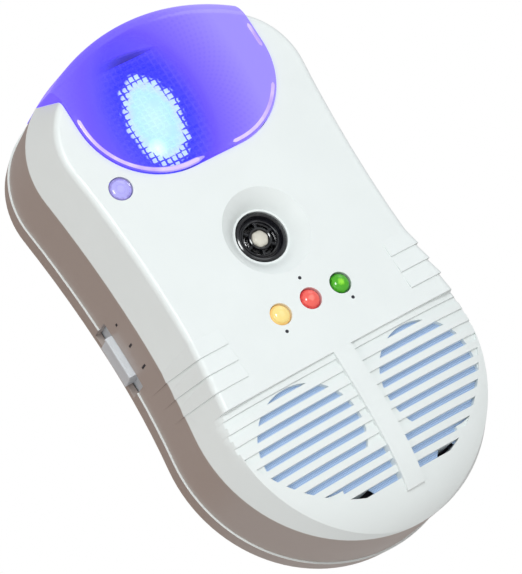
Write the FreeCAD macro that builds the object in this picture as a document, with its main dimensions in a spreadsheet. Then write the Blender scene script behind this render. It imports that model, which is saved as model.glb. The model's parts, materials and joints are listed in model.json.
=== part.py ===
"""Plug-in ultrasonic pest repeller with a night light.

Millimetres, +Z up. The front faces -Y and the flat back lies in the plane y = 0, with the plug
blades pointing +Y. The origin is on the back face, midway between the blades.
Depths are measured from the front plane: y = depth - body_depth.
"""
import FreeCAD, Part
import math
import os
import re

import Sketcher

from FreeCAD import Placement, Rotation, Vector

SIZES = [
    # casing outline, seen from the front
    ("top_z", 58.9), ("shoulder_radius", 21.0), ("shoulder_x", 15.0), ("shoulder_z", 33.6),
    ("waist_half_width", 33.8), ("waist_z", -4.0), ("lobe_radius", 36.0), ("lobe_z", -35.8),
    # casing in depth
    ("body_depth", 40.0), ("belt_depth", 13.4), ("parting_depth", 30.6), ("flank_inset", 4.2),
    ("crown_radius", 400.0), ("edge_round", 1.6), ("wall", 2.0), ("parting_gap", 0.1),
    ("wall_draft", 0.45),
    # the two grille lobes below the crease
    ("crease_z", -31.1), ("lobe_step", 0.9), ("lobe_round", 7.0), ("dome_z", -22.0),
    ("dome_power", 3.0), ("dome_fill", 0.96), ("bar_half_width", 2.4), ("bar_end_z", -65.0),
    ("slot_pitch", 3.1), ("slot_height", 1.5), ("first_slot_z", -33.3), ("slot_count", 10),
    ("groove_depth", 0.6), ("grille_z", -29.0), ("grille_radius", 35.0),
    ("speaker_x", 16.6), ("speaker_z", -45.4), ("sound_radius", 12.6),
    ("screen_thickness", 0.4), ("screen_overlap", 1.4),
    # finger ribs over both flanks
    ("rib_top_z", -14.1), ("rib_pitch", 4.2), ("rib_count", 3), ("rib_inner_x", 22.8),
    ("rib_height", 0.45), ("rib_tilt", 4.5),
    # transducer in its dish
    ("dish_radius", 10.2), ("dish_depth", 4.0), ("dish_floor_radius", 6.6),
    ("transducer_radius", 6.05),
    # night light
    ("lens_half_width", 25.3), ("lens_low_z", 20.4), ("lens_corner", 19.0), ("lens_proud", 0.5),
    ("lens_wall", 1.8), ("lens_lean", 1.2), ("lens_round", 4.5), ("lens_back_depth", 22.0),
    ("lens_gap", 0.15),
    # light sensor and indicators
    ("sensor_x", -24.4), ("sensor_z", 23.4), ("sensor_radius", 2.75),
    ("indicator_pitch", 8.3), ("indicator_z", -18.2), ("indicator_radius", 2.5),
    # slide switch in the left wall
    ("switch_z", -4.7), ("switch_slot_length", 16.8), ("switch_front_depth", 26.6),
    ("switch_back_depth", 34.4), ("knob_length", 10.4), ("knob_gap", 0.2), ("knob_proud", 1.3),
    ("knob_travel", 3.0), ("strip_x", -31.6), ("strip_thickness", 0.6), ("strip_cover", 0.6),
    # inside
    ("board_depth", 24.0), ("board_thickness", 1.6), ("screw_upper_x", 26.4),
    ("screw_upper_z", 15.5), ("screw_lower_x", 12.0), ("screw_lower_z", -63.0),
    ("boss_radius", 3.0), ("pilot_radius", 1.1), ("clear_radius", 1.5),
    ("well_radius", 2.7), ("well_depth", 3.0),
    ("pillar_x", 20.5), ("pillar_upper_z", 2.5), ("pillar_lower_z", -41.0), ("pillar_radius", 2.4),
    ("plate_width", 30.0), ("plate_height", 16.0), ("plate_thickness", 0.3), ("plate_z", -34.0),
    # plug
    ("blade_spacing", 12.7), ("blade_thickness", 1.5), ("blade_height", 6.35),
    ("blade_length", 17.0), ("blade_hole_radius", 1.6), ("blade_root", 8.0),
    ("insulator_width", 21.0), ("insulator_height", 11.0), ("insulator_thickness", 3.0),
]

doc = FreeCAD.newDocument("pest_repeller")
sheet = doc.addObject("Spreadsheet::Sheet", "sizes")
for row, (alias, value) in enumerate(SIZES, start=1):
    sheet.set(f"A{row}", alias)
    sheet.set(f"B{row}", str(value))
    sheet.setAlias(f"B{row}", alias)
doc.recompute()

parts = []


def size(alias):
    """A driving dimension read from the sheet."""
    return float(sheet.get(alias))


def formula(text):
    """An expression for setExpression: every plain word is an alias of the sheet."""
    return re.sub(r"[a-z][a-z_]*", lambda word: "sizes." + word.group(), str(text))


def keep(piece, label):
    """Names a finished sub-part and lists it for export."""
    piece.Label = label
    parts.append(piece)
    return piece


def place(piece, x, depth, z):
    """Binds the position of a sub-part: across, behind the front plane, and up."""
    piece.setExpression("Placement.Base.x", formula(x))
    piece.setExpression("Placement.Base.y", formula(f"{depth} - body_depth"))
    piece.setExpression("Placement.Base.z", formula(z))


def feature(label, shape):
    """A sub-part whose shape is worked out below from the sheet's dimensions."""
    piece = doc.addObject("Part::Feature", label)
    piece.Shape = shape
    piece.Placement = Placement()
    return keep(piece, label)


# ---------------------------------------------------------------- parametric small pieces

def sketch_in(body, role):
    """A sketch on one of the body's own origin planes."""
    sketch = body.newObject("Sketcher::SketchObject", body.Name + "_sketch")
    plane = next(item for item in body.Origin.OriginFeatures if item.Role == role)
    sketch.AttachmentSupport = [(plane, "")]
    sketch.MapMode = "FlatFace"
    return sketch


def constrain(sketch, name, text, *constraint):
    """Adds a named dimension to a sketch and binds it to the sheet."""
    index = sketch.addConstraint(Sketcher.Constraint(*constraint))
    sketch.renameConstraint(index, name)
    sketch.setExpression("Constraints." + name, formula(text))


def pad(body, sketch, length):
    """Extrudes a sketch of the XZ plane towards the back."""
    solid = body.newObject("PartDesign::Pad", body.Name + "_pad")
    solid.Profile = sketch
    solid.Reversed = True
    solid.setExpression("Length", formula(length))
    sketch.Visibility = False
    return solid


def block(label, width, depth, height, at):
    """A rectangular piece centred on at, its front face at the depth in at."""
    body = doc.addObject("PartDesign::Body", label)
    sketch = sketch_in(body, "XZ_Plane")
    corners = [Vector(-1, -1, 0), Vector(1, -1, 0), Vector(1, 1, 0), Vector(-1, 1, 0)]
    for index in range(4):
        sketch.addGeometry(Part.LineSegment(corners[index], corners[(index + 1) % 4]), False)
    for index in range(4):
        joint = ("Coincident", index, 2, (index + 1) % 4, 1)
        sketch.addConstraint(Sketcher.Constraint(*joint))
    for index, direction in enumerate(("Horizontal", "Vertical", "Horizontal", "Vertical")):
        sketch.addConstraint(Sketcher.Constraint(direction, index))
    sketch.addConstraint(Sketcher.Constraint("Symmetric", 0, 1, 2, 1, -1, 1))
    constrain(sketch, "width", width, "DistanceX", 0, 1, 0, 2, 2.0)
    constrain(sketch, "height", height, "DistanceY", 1, 1, 1, 2, 2.0)
    pad(body, sketch, depth)
    place(body, *at)
    return keep(body, label)


def disc(label, radius, depth, at, hole=None):
    """A round piece whose axis runs front to back, with an optional centre hole."""
    body = doc.addObject("PartDesign::Body", label)
    sketch = sketch_in(body, "XZ_Plane")
    for name, reach in (("outer", radius), ("inner", hole)):
        if reach is None:
            continue
        start = 2.0 if name == "outer" else 1.0
        circle = Part.Circle(Vector(0, 0, 0), Vector(0, 0, 1), start)
        index = sketch.addGeometry(circle, False)
        sketch.addConstraint(Sketcher.Constraint("Coincident", index, 3, -1, 1))
        constrain(sketch, name, reach, "Radius", index, start)
    pad(body, sketch, depth)
    place(body, *at)
    return keep(body, label)


def turned(label, profile, at):
    """A piece turned about its front-to-back axis; profile is (radius, depth) from the axis."""
    body = doc.addObject("PartDesign::Body", label)
    sketch = sketch_in(body, "XY_Plane")
    points = [Vector(reach, depth, 0) for reach, depth in profile]
    count = len(points)
    for index in range(count):
        sketch.addGeometry(Part.LineSegment(points[index], points[(index + 1) % count]), False)
    for index in range(count):
        sketch.addConstraint(Sketcher.Constraint("Coincident", index, 2, (index + 1) % count, 1))
        sketch.addConstraint(Sketcher.Constraint("Block", index))
    solid = body.newObject("PartDesign::Revolution", body.Name + "_turned")
    solid.Profile = sketch
    solid.ReferenceAxis = (sketch, ["V_Axis"])
    solid.Angle = 360.0
    sketch.Visibility = False
    place(body, *at)
    return keep(body, label)


def group(label, pieces):
    """Identical pieces as separate solids of one node; pieces are (kind, sizes, position)."""
    solids = []
    for number, (kind, dimensions, at) in enumerate(pieces):
        solid = doc.addObject("Part::" + kind, f"{label}_{number}")
        for name, text in dimensions.items():
            solid.setExpression(name, formula(text))
        place(solid, *at)
        if kind == "Cylinder":
            solid.Placement.Rotation = Rotation(Vector(1, 0, 0), -90)
        solids.append(solid)
    compound = doc.addObject("Part::Compound", label)
    compound.Links = solids
    return keep(compound, label)


# ---------------------------------------------------------------- casing geometry

def at_depth(x, depth, z):
    return Vector(x, depth - size("body_depth"), z)


def bent(centre, radius, start, end, depth):
    """An arc of the outline between two points of a circle, the short way round."""
    middle = (start + end) * 0.5 - centre
    middle.normalize()
    three = [start, centre + middle * radius, end]
    return Part.Arc(*[at_depth(point.x, depth, point.y) for point in three]).toShape()


def joining_radius(width, height, radius):
    """Radius of the circle that touches a line at the origin and a circle beside it."""
    return (width ** 2 + height ** 2 - radius ** 2) / (2.0 * (radius - width))


def outline(depth, inset):
    """The casing's outline at one depth, drawn in by inset: eight tangent arcs."""
    shoulder = Vector(size("shoulder_x"), size("shoulder_z"), 0)
    lobe = Vector(0, size("lobe_z"), 0)
    waist = Vector(size("waist_half_width"), size("waist_z"), 0)
    rise = size("top_z") - shoulder.y
    shoulder_radius = size("shoulder_radius")
    lobe_radius = size("lobe_radius")
    top_radius = (shoulder.x ** 2 + rise ** 2 - shoulder_radius ** 2) / (2 * (rise - shoulder_radius))
    upper_radius = joining_radius(waist.x - shoulder.x, shoulder.y - waist.y, shoulder_radius)
    lower_radius = joining_radius(waist.x - lobe.x, waist.y - lobe.y, lobe_radius)
    top = Vector(0, size("top_z") - top_radius, 0)
    upper = Vector(waist.x + upper_radius, waist.y, 0)
    lower = Vector(waist.x + lower_radius, waist.y, 0)

    def on(centre, towards, radius):
        return centre + (towards - centre).normalize() * radius

    crown = on(top, shoulder, top_radius - inset)
    armpit = on(shoulder, upper, shoulder_radius - inset)
    narrow = Vector(waist.x - inset, waist.y, 0)
    hip = on(lobe, lower, lobe_radius - inset)

    def flipped(point):
        return Vector(-point.x, point.y, 0)

    edges = [bent(top, top_radius - inset, flipped(crown), crown, depth)]
    edges.append(bent(shoulder, shoulder_radius - inset, crown, armpit, depth))
    edges.append(bent(upper, upper_radius + inset, armpit, narrow, depth))
    edges.append(bent(lower, lower_radius + inset, narrow, hip, depth))
    foot = Vector(0, lobe.y - lobe_radius + inset, 0)
    lowest = [at_depth(point.x, depth, point.y) for point in (hip, foot, flipped(hip))]
    edges.append(Part.Arc(*lowest).toShape())
    edges.append(bent(flipped(lower), lower_radius + inset, flipped(hip), flipped(narrow), depth))
    edges.append(bent(flipped(upper), upper_radius + inset, flipped(narrow), flipped(armpit), depth))
    edges.append(bent(flipped(shoulder), shoulder_radius - inset, flipped(armpit), flipped(crown), depth))
    return Part.Wire(edges)


def casing(sections):
    """A solid through outlines given as (depth, inset)."""
    return Part.makeLoft([outline(depth, inset) for depth, inset in sections], True, True)


def slab(low, high):
    """A box between two corners given as (x, depth, z)."""
    corner = at_depth(*low)
    spans = [high[axis] - low[axis] for axis in range(3)]
    return Part.makeBox(spans[0], spans[1], spans[2], corner)


def rod(radius, start, end):
    """A cylinder between two points given as (x, depth, z)."""
    first = at_depth(*start)
    along = at_depth(*end) - first
    return Part.makeCylinder(radius, along.Length, first, along)


def dome(forward):
    """The round fall of both lobes towards the foot, turned about a point above the crease."""
    centre_z = size("dome_z")
    rim = centre_z - size("lobe_z") + size("lobe_radius")
    reach = rim / size("dome_fill")
    power = size("dome_power")
    full_fall = 1.0 - (1.0 - size("dome_fill") ** power) ** (1.0 / power)
    rise = (size("belt_depth") - size("lobe_step")) / full_fall
    steps = 12
    points = []
    for step in range(steps + 1):
        radius = (rim + 0.6) * math.sin(0.5 * math.pi * step / steps)
        fall = 1.0 - (1.0 - (radius / reach) ** power) ** (1.0 / power)
        points.append(at_depth(radius, size("lobe_step") - forward + rise * fall, 0))
    curve = Part.BSplineCurve()
    curve.interpolate(points)
    back = size("body_depth") + 10.0
    outside = points[-1].x
    wall = [points[-1], at_depth(outside, back, 0), at_depth(0, back, 0), points[0]]
    edges = [curve.toShape()] + [Part.makeLine(wall[i], wall[i + 1]) for i in range(3)]
    solid = Part.Face(Part.Wire(edges)).revolve(at_depth(0, 0, 0), Vector(0, 1, 0), 360)
    solid.translate(Vector(0, 0, centre_z))
    return solid


def lobe_block(inset, forward, rounding):
    """Both grille lobes as one solid: well rounded edges all round and a domed foot."""
    belt = size("belt_depth")
    start = size("lobe_step") - forward
    sections = [(start, size("flank_inset") * (1.0 - start / belt) + inset), (belt, inset)]
    sections.append((size("parting_depth"), inset + size("wall_draft")))
    solid = casing(sections)
    front = [edge for edge in solid.Edges if edge.BoundBox.YMax < at_depth(0, start + 0.1, 0).y]
    return solid.makeFillet(rounding, front).common(dome(forward))


def front_block(inset, shift, outside):
    """The front half as a solid, drawn in all round by inset and set back by shift."""
    far = 200.0
    sections = [(shift - 4.0, size("flank_inset") * (1 + (4.0 - shift) / size("belt_depth")) + inset)]
    sections += [(size("belt_depth"), inset), (size("parting_depth"), inset + size("wall_draft"))]
    upper = casing(sections)
    radius = size("crown_radius")
    axis_point = at_depth(0, radius + shift, -far)
    upper = upper.common(Part.makeCylinder(radius, 2 * far, axis_point, Vector(0, 0, 1)))
    if outside:
        ridge = [edge for edge in upper.Edges if is_face_edge(edge)]
        upper = upper.makeFillet(size("edge_round"), ridge)
    crease = size("crease_z") + shift
    upper = upper.common(slab((-far, -far, crease), (far, far, far)))
    lobes = lobe_block(inset, -shift, size("lobe_round") - shift)
    lower = lobes.common(slab((-far, -far, -far), (far, far, crease)))
    block_shape = upper.fuse(lower)
    if outside:
        half = size("bar_half_width")
        bar = slab((-half, -far, size("bar_end_z")), (half, far, crease))
        block_shape = block_shape.fuse(lobe_block(inset, size("lobe_step"), size("lobe_round")).common(bar))
    return block_shape


def is_face_edge(edge):
    """True for the edges where the crowned face meets the flanks."""
    return edge.BoundBox.YMax < at_depth(0, 4.0, 0).y


def lens_prism(grow):
    """The U-shaped column, open at the top, that the night-light lens fills."""
    half = size("lens_half_width") + grow
    low = size("lens_low_z") - grow
    radius = size("lens_corner") + grow
    high = 90.0
    front = -10.0
    start = at_depth(-half, front, high)
    left = at_depth(-half, front, low + radius)
    right = at_depth(half, front, low + radius)
    finish = at_depth(half, front, high)
    diagonal = radius * (1.0 - math.sqrt(0.5))
    flat = half - radius
    edges = [Part.makeLine(start, left)]
    middle = at_depth(-half + diagonal, front, low + diagonal)
    edges.append(Part.Arc(left, middle, at_depth(-flat, front, low)).toShape())
    edges.append(Part.makeLine(at_depth(-flat, front, low), at_depth(flat, front, low)))
    middle = at_depth(half - diagonal, front, low + diagonal)
    edges.append(Part.Arc(at_depth(flat, front, low), middle, right).toShape())
    edges += [Part.makeLine(right, finish), Part.makeLine(finish, start)]
    depth = size("lens_back_depth") + grow - front
    return Part.Face(Part.Wire(edges)).extrude(Vector(0, depth, 0))


def slot_heights():
    return [size("first_slot_z") - row * size("slot_pitch") for row in range(int(size("slot_count")))]


def louvres(deep):
    """Bars of space for the louvre slots, clipped to the grille's round outline."""
    low = size("slot_height") * 0.5
    field = rod(size("grille_radius"), (0, -5, size("grille_z")), (0, 20, size("grille_z")))
    inner = size("bar_half_width")
    rows = []
    for z in slot_heights():
        for side in (-1, 1):
            near, far = sorted((side * inner, side * 40.0))
            rows.append(slab((near, -5, z - low), (far, 20, z + low)))
    bars = Part.makeCompound(rows).common(field)
    if deep:
        rounds = []
        for side in (-1, 1):
            x = side * size("speaker_x")
            z = size("speaker_z")
            rounds.append(rod(size("sound_radius"), (x, -5, z), (x, 20, z)))
        # the lowest slots are open right up to the centre bar, for the ioniser's air
        last = slot_heights()[-3]
        rounds.append(slab((-16, -5, last - 8), (16, 20, last + 1)))
        return bars.common(rounds[0].fuse(rounds[1:]))
    # the shallow grooves fade out where the lobes turn into the flanks
    return bars.cut(lobe_block(0.0, -size("groove_depth"), size("lobe_round")))


def grille_screen(side):
    """One side's dust screen, laid against the inside of the cover behind its louvre slots."""
    wall = size("wall")
    thickness = size("screen_thickness")
    rounding = size("lobe_round") - wall
    sheet_shape = lobe_block(wall, -wall, rounding)
    sheet_shape = sheet_shape.cut(lobe_block(wall + thickness, -wall - thickness, rounding - thickness))
    x, z = side * size("speaker_x"), size("speaker_z")
    reach = size("sound_radius") + size("screen_overlap")
    near, far = sorted((side * 0.3, side * size("speaker_x")))
    foot = slot_heights()[-1] - size("slot_height")
    patch = rod(reach, (x, -2, z), (x, 20, z)).fuse(slab((near, -2, foot), (far, 20, z)))
    patch = patch.common(slab((-40, -2, foot), (40, 20, size("crease_z"))))
    boss_x, boss_z = side * size("screw_lower_x"), size("screw_lower_z")
    boss = rod(size("boss_radius") + 0.3, (boss_x, -2, boss_z), (boss_x, 20, boss_z))
    return sheet_shape.common(patch.cut(boss))


def finger_ribs(block_shape):
    """Shingled ribs over the face's margin, the flanks and the walls.

    Each one leans out of the surface towards its lower edge, so it is a slice of the casing
    turned a little about a line on the ridge.
    """
    pitch = size("rib_pitch")
    lean = math.degrees(math.sqrt(2.0) * math.atan(size("rib_height") / pitch))
    far = 60.0
    ribs = []
    for row in range(int(size("rib_count"))):
        top = size("rib_top_z") - row * pitch
        for side in (-1, 1):
            ridge = at_depth(side * (outline_half_width(top) - size("flank_inset")), 1.0, top)
            leaning = block_shape.copy()
            leaning.rotate(ridge, Vector(-1, -side, 0), lean)
            near, out = sorted((side * size("rib_inner_x"), side * far))
            slice_box = slab((near, -5, top - pitch), (out, size("parting_depth"), top))
            slice_box.rotate(ridge, Vector(1, 0, 0), size("rib_tilt"))
            ribs.append(leaning.common(slice_box))
    limit = slab((-far, 0, -far), (far, size("parting_depth"), far))
    return [rib.common(limit) for rib in ribs]


def outline_half_width(z):
    """Half the casing's width at the belt, below the waist and above the lobes' centre."""
    waist_x = size("waist_half_width")
    lobe_radius = size("lobe_radius")
    rise = size("waist_z") - size("lobe_z")
    radius = joining_radius(waist_x, rise, lobe_radius)
    return waist_x + radius - math.sqrt(radius ** 2 - (z - size("waist_z")) ** 2)


def dish_cutter():
    """The shallow bowl round the transducer, with its bore behind."""
    rim = size("dish_radius")
    floor = size("dish_floor_radius")
    depth = size("dish_depth")
    wall = Part.Arc(at_depth(rim + 0.8, -0.3, 0), at_depth(rim - 1.1, 1.1, 0), at_depth(floor, depth, 0))
    points = [at_depth(floor, depth, 0), at_depth(0, depth, 0), at_depth(0, -2, 0),
              at_depth(rim + 0.8, -2, 0), at_depth(rim + 0.8, -0.3, 0)]
    edges = [wall.toShape()] + [Part.makeLine(points[i], points[i + 1]) for i in range(4)]
    bowl = Part.Face(Part.Wire(edges)).revolve(at_depth(0, 0, 0), Vector(0, 1, 0), 360)
    return bowl.fuse(rod(size("transducer_radius") + 0.1, (0, 0, 0), (0, 20, 0)))


def dish_backing():
    """The bowl's own thickness behind the face, with a collar that holds the transducer."""
    rim = size("dish_radius") + 0.6
    depth = size("dish_depth")
    collar = size("transducer_radius") + 1.6
    cup = Part.makeCone(rim, collar, depth + 1.6, at_depth(0, 1.0, 0), Vector(0, 1, 0))
    return cup.fuse(rod(collar, (0, 1, 0), (0, depth + 4.5, 0)))


def screw_spots():
    spots = []
    for side in (-1, 1):
        spots.append((side * size("screw_upper_x"), size("screw_upper_z")))
        spots.append((side * size("screw_lower_x"), size("screw_lower_z")))
    return spots


def switch_window():
    """The slot through the left wall, half in each shell."""
    half = size("switch_slot_length") * 0.5
    z = size("switch_z")
    low = (-45, size("switch_front_depth"), z - half)
    return slab(low, (-28.0, size("switch_back_depth"), z + half))


def strip_half():
    """Half the length of the knob's dust strip, which covers the slot at both ends of the travel."""
    return size("switch_slot_length") * 0.5 + size("knob_travel") + size("strip_cover")


def strip_pocket():
    """The shallow pocket inside the left wall that the dust strip slides in."""
    room = 0.3
    half = strip_half() + size("knob_travel") + room
    z = size("switch_z")
    low = (size("strip_x") - room, size("switch_front_depth") - 1.2, z - half)
    return slab(low, (-28.0, size("switch_back_depth") + 1.0, z + half))


def front_cover():
    """The front shell: face, flanks, walls, dish, finger grips and both grille lobes."""
    parting = size("parting_depth")
    outer = front_block(0.0, 0.0, True)
    hollow = front_block(size("wall"), size("wall"), False)
    inner = size("wall") + size("wall_draft")
    hollow = hollow.fuse(casing([(parting - 0.1, inner), (parting + 1, inner)]))
    shell = outer.fuse(finger_ribs(outer)).cut(hollow)
    shell = shell.fuse(dish_backing().common(outer))
    for x, z in screw_spots():
        boss = rod(size("boss_radius"), (x, 1.5, z), (x, parting + 3.0, z))
        boss = boss.common(outer.fuse(rod(size("boss_radius"), (x, 20, z), (x, parting + 3.0, z))))
        shell = shell.fuse(boss).cut(rod(size("pilot_radius"), (x, parting - 8, z), (x, parting + 4, z)))
    shell = shell.cut(dish_cutter())
    shell = shell.cut(lens_prism(size("lens_gap")))
    shell = shell.cut(louvres(True)).cut(louvres(False))
    x, z = size("sensor_x"), size("sensor_z")
    shell = shell.cut(rod(size("sensor_radius") + 0.05, (x, -2, z), (x, 5, z)))
    for step in (-1, 0, 1):
        x = step * size("indicator_pitch")
        z = size("indicator_z")
        shell = shell.cut(rod(size("indicator_radius") + 0.1, (x, -2, z), (x, 5, z)))
    return shell.cut(switch_window()).cut(strip_pocket())


def rear_housing():
    """The shallow rear shell: flat back, rounded rim, screw wells and the plug's socket."""
    gap = size("parting_depth") + size("parting_gap")
    back = size("body_depth")
    wall = size("wall")
    sections = [(gap, 0.0), (back - 3.6, 0.7), (back - 1.8, 1.6), (back - 0.6, 3.0), (back, 5.0)]
    inner = size("wall_draft") + wall
    shell = casing(sections).cut(casing([(gap - 1, inner), (back - wall, 1.2 + wall)]))
    for x, z in screw_spots():
        post = rod(size("boss_radius") + 0.9, (x, gap + 3.4, z), (x, back, z))
        shell = shell.fuse(post.common(casing(sections)))
        shell = shell.cut(rod(size("clear_radius"), (x, gap, z), (x, back + 1, z)))
        shell = shell.cut(rod(size("well_radius"), (x, back - size("well_depth"), z), (x, back + 1, z)))
    for x, z in board_screw_spots():
        foot = size("board_depth") + size("board_thickness")
        shell = shell.fuse(rod(size("pillar_radius"), (x, foot, z), (x, back - 1, z)))
        shell = shell.cut(rod(size("pilot_radius"), (x, foot - 1, z), (x, back - 3, z)))
    shell = shell.cut(blade_slots())
    half_x = size("plate_width") * 0.5
    half_z = size("plate_height") * 0.5
    z = size("plate_z")
    low = (-half_x, back - size("plate_thickness"), z - half_z)
    shell = shell.cut(slab(low, (half_x, back + 1, z + half_z)))
    return shell.cut(switch_window()).cut(strip_pocket())


def board_screw_spots():
    heights = (size("pillar_upper_z"), size("pillar_lower_z"))
    return [(side * size("pillar_x"), z) for side in (-1, 1) for z in heights]


def blade_slots():
    """Two slots that both blades pass through with a slight clearance."""
    clearance = 0.05
    half_x = size("blade_spacing") * 0.5
    width = size("blade_thickness") * 0.5 + clearance
    height = size("blade_height") * 0.5 + clearance
    back = size("body_depth")
    slots = []
    for side in (-1, 1):
        low = (side * half_x - width, back - size("blade_root"), -height)
        slots.append(slab(low, (side * half_x + width, back + 1, height)))
    return Part.makeCompound(slots)


def plug_insulator():
    """The block behind the back wall that both blades are held in."""
    half_x = size("insulator_width") * 0.5
    half_z = size("insulator_height") * 0.5
    back = size("body_depth") - size("wall")
    front = back - size("insulator_thickness")
    return slab((-half_x, front, -half_z), (half_x, back, half_z)).cut(blade_slots())


def screw(head, shank, head_at, forward):
    """A screw at (x, depth, z): head and shank are (radius, length), with a cross in the head.

    head_at is the centre of the face under the head; forward is the shank's sense along depth.
    """
    x, depth, z = head_at
    head_radius, head_height = head
    shank_radius, shank_length = shank
    top = depth - forward * head_height
    solid = rod(head_radius, (x, depth, z), (x, top, z))
    solid = solid.makeFillet(0.35 * head_height, [solid.Edges[face_index(solid, top)]])
    solid = solid.fuse(rod(shank_radius, (x, depth, z), (x, depth + forward * shank_length, z)))
    arm = 0.62 * head_radius
    slit = 0.14 * head_radius
    near, deep = sorted((top - forward, top + forward * 0.55 * head_height))
    for half_x, half_z in ((arm, slit), (slit, arm)):
        solid = solid.cut(slab((x - half_x, near, z - half_z), (x + half_x, deep, z + half_z)))
    return solid


def face_index(solid, depth):
    """Index of the round edge that lies at a depth."""
    level = at_depth(0, depth, 0).y
    for index, edge in enumerate(solid.Edges):
        box = edge.BoundBox
        if abs(box.YMin - level) < 0.01 and abs(box.YMax - level) < 0.01:
            return index
    raise RuntimeError("no edge at that depth")


def case_screws():
    depth = size("body_depth") - size("well_depth")
    spots = [(x, depth, z) for x, z in screw_spots()]
    return Part.makeCompound([screw((2.5, 1.6), (1.0, 13.0), spot, -1) for spot in spots])


def board_screws():
    spots = [(x, size("board_depth"), z) for x, z in board_screw_spots()]
    return Part.makeCompound([screw((2.0, 1.4), (1.0, 10.0), spot, 1) for spot in spots])


def nightlight_reflector():
    """The bright plate behind the lamps, cut to the cap's inner outline."""
    margin = size("lens_wall") + 0.4
    depth = 13.0
    plate = slab((-40, depth, 0), (40, depth + 1.2, 53.0))
    return plate.common(lens_prism(-margin)).common(lens_block(margin, size("lens_proud") - margin))


def nightlight_leds():
    """Six round lamps with domed ends and a collar at the foot."""
    radius = 2.4
    front, foot = 8.0, 13.0
    lamps = []
    for x in (-6.0, 0.0, 6.0):
        for z in (33.5, 40.5):
            lamp = rod(radius, (x, front + radius, z), (x, foot, z))
            lamp = lamp.fuse(Part.makeSphere(radius, at_depth(x, front + radius, z)))
            lamps.append(lamp.fuse(rod(radius + 0.3, (x, foot - 0.8, z), (x, foot, z))))
    return Part.makeCompound(lamps)


def lens_block(inset, proud):
    """The cap's outer form: fuller than the flanks beside it, with a rounded front edge."""
    far = 200.0
    start = -proud - 1.0
    lean = size("lens_lean") / size("belt_depth")
    sections = [(start, lean * (size("belt_depth") - start) + inset), (size("belt_depth"), inset)]
    sections.append((size("parting_depth"), inset))
    radius = size("crown_radius")
    crown = Part.makeCylinder(radius, 2 * far, at_depth(0, radius - proud, -far), Vector(0, 0, 1))
    solid = casing(sections).common(crown)
    return solid.makeFillet(size("lens_round") - inset, [edge for edge in solid.Edges if is_face_edge(edge)])


def nightlight_lens():
    """The clear domed cap that wraps from the face over the top of the casing."""
    thick = size("lens_wall")
    cap = lens_block(0.0, size("lens_proud")).common(lens_prism(0.0))
    inner = lens_prism(-thick)
    inner.translate(Vector(0, 5, 0))
    return cap.cut(lens_block(thick, size("lens_proud") - thick).common(inner))


def switch_knob():
    """The thumb piece: a ridge at its front, a sloping thumb face, a dust strip and a stem."""
    z = size("switch_z")
    half = size("knob_length") * 0.5
    gap = size("knob_gap")
    front = size("switch_front_depth") + gap
    back = size("switch_back_depth") - gap
    wall = -size("waist_half_width")
    crest = wall - size("knob_proud")
    root = size("strip_x") + 0.2
    profile = [(root, front), (crest + 0.25, front), (crest, front + 0.3), (crest, front + 1.0)]
    profile += [(wall - 0.55, front + 2.6), (wall - 0.2, back), (root, back)]
    points = [at_depth(x, depth, z - half) for x, depth in profile]
    cap = Part.Face(Part.makePolygon(points + points[:1])).extrude(Vector(0, 0, 2 * half))
    strip_x = size("strip_x")
    inside = strip_x + size("strip_thickness")
    strip = slab((strip_x, front - 1.0, z - strip_half()), (inside, back + 0.8, z + strip_half()))
    middle = (front + back) * 0.5
    stem = slab((inside - 0.1, middle - 1.0, z - 1.5), (-27.4, middle + 1.0, z + 1.5))
    return cap.fuse([strip, stem])


def switch_body():
    """The switch's case on the board, with the track that the knob's stem runs in."""
    z = size("switch_z")
    front = size("board_depth") + size("board_thickness")
    middle = (size("switch_front_depth") + size("switch_back_depth")) * 0.5
    reach = 1.5 + size("knob_travel") + 0.4
    case = slab((-30.0, front, z - 9.0), (-23.5, middle + 3.4, z + 9.0))
    track = slab((-31.0, middle - 1.2, z - reach), (-26.8, middle + 1.2, z + reach))
    return case.cut(track)


def plug_blade(side):
    """A flat mains blade with a rounded end and its locking hole."""
    x = side * size("blade_spacing") * 0.5
    half = size("blade_thickness") * 0.5
    tall = size("blade_height") * 0.5
    back = size("body_depth")
    tip = back + size("blade_length")
    blade = slab((x - half, back - size("blade_root"), -tall), (x + half, tip - tall, tall))
    end = Part.makeCylinder(tall, 2 * half, at_depth(x - half, tip - tall, 0), Vector(1, 0, 0))
    hole_at = at_depth(x - 2, back + 11.7, 0)
    hole = Part.makeCylinder(size("blade_hole_radius"), 4, hole_at, Vector(1, 0, 0))
    return blade.fuse(end).cut(hole)


def main_board():
    """The circuit board, narrowed at its foot to follow the casing."""
    corners = [(-27, 6.5), (27, 6.5), (27, -42), (18, -58), (-18, -58), (-27, -42)]
    depth = size("board_depth")
    points = [at_depth(x, depth, z) for x, z in corners]
    face = Part.Face(Part.makePolygon(points + points[:1]))
    board = face.extrude(Vector(0, size("board_thickness"), 0))
    for x, z in board_screw_spots():
        board = board.cut(rod(1.3, (x, depth - 1, z), (x, depth + 3, z)))
    return board


def ioniser_needle():
    """A sharp needle on the front of the ioniser module, pointing at the lowest slots."""
    z = -56.0
    shoulder, root = 10.0, 16.0
    tube = rod(0.9, (0, shoulder, z), (0, root, z))
    tip = Part.makeCone(0.05, 0.9, 2.4, at_depth(0, shoulder - 2.4, z), Vector(0, 1, 0))
    return tube.fuse(tip)


# ---------------------------------------------------------------- the sub-parts

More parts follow.
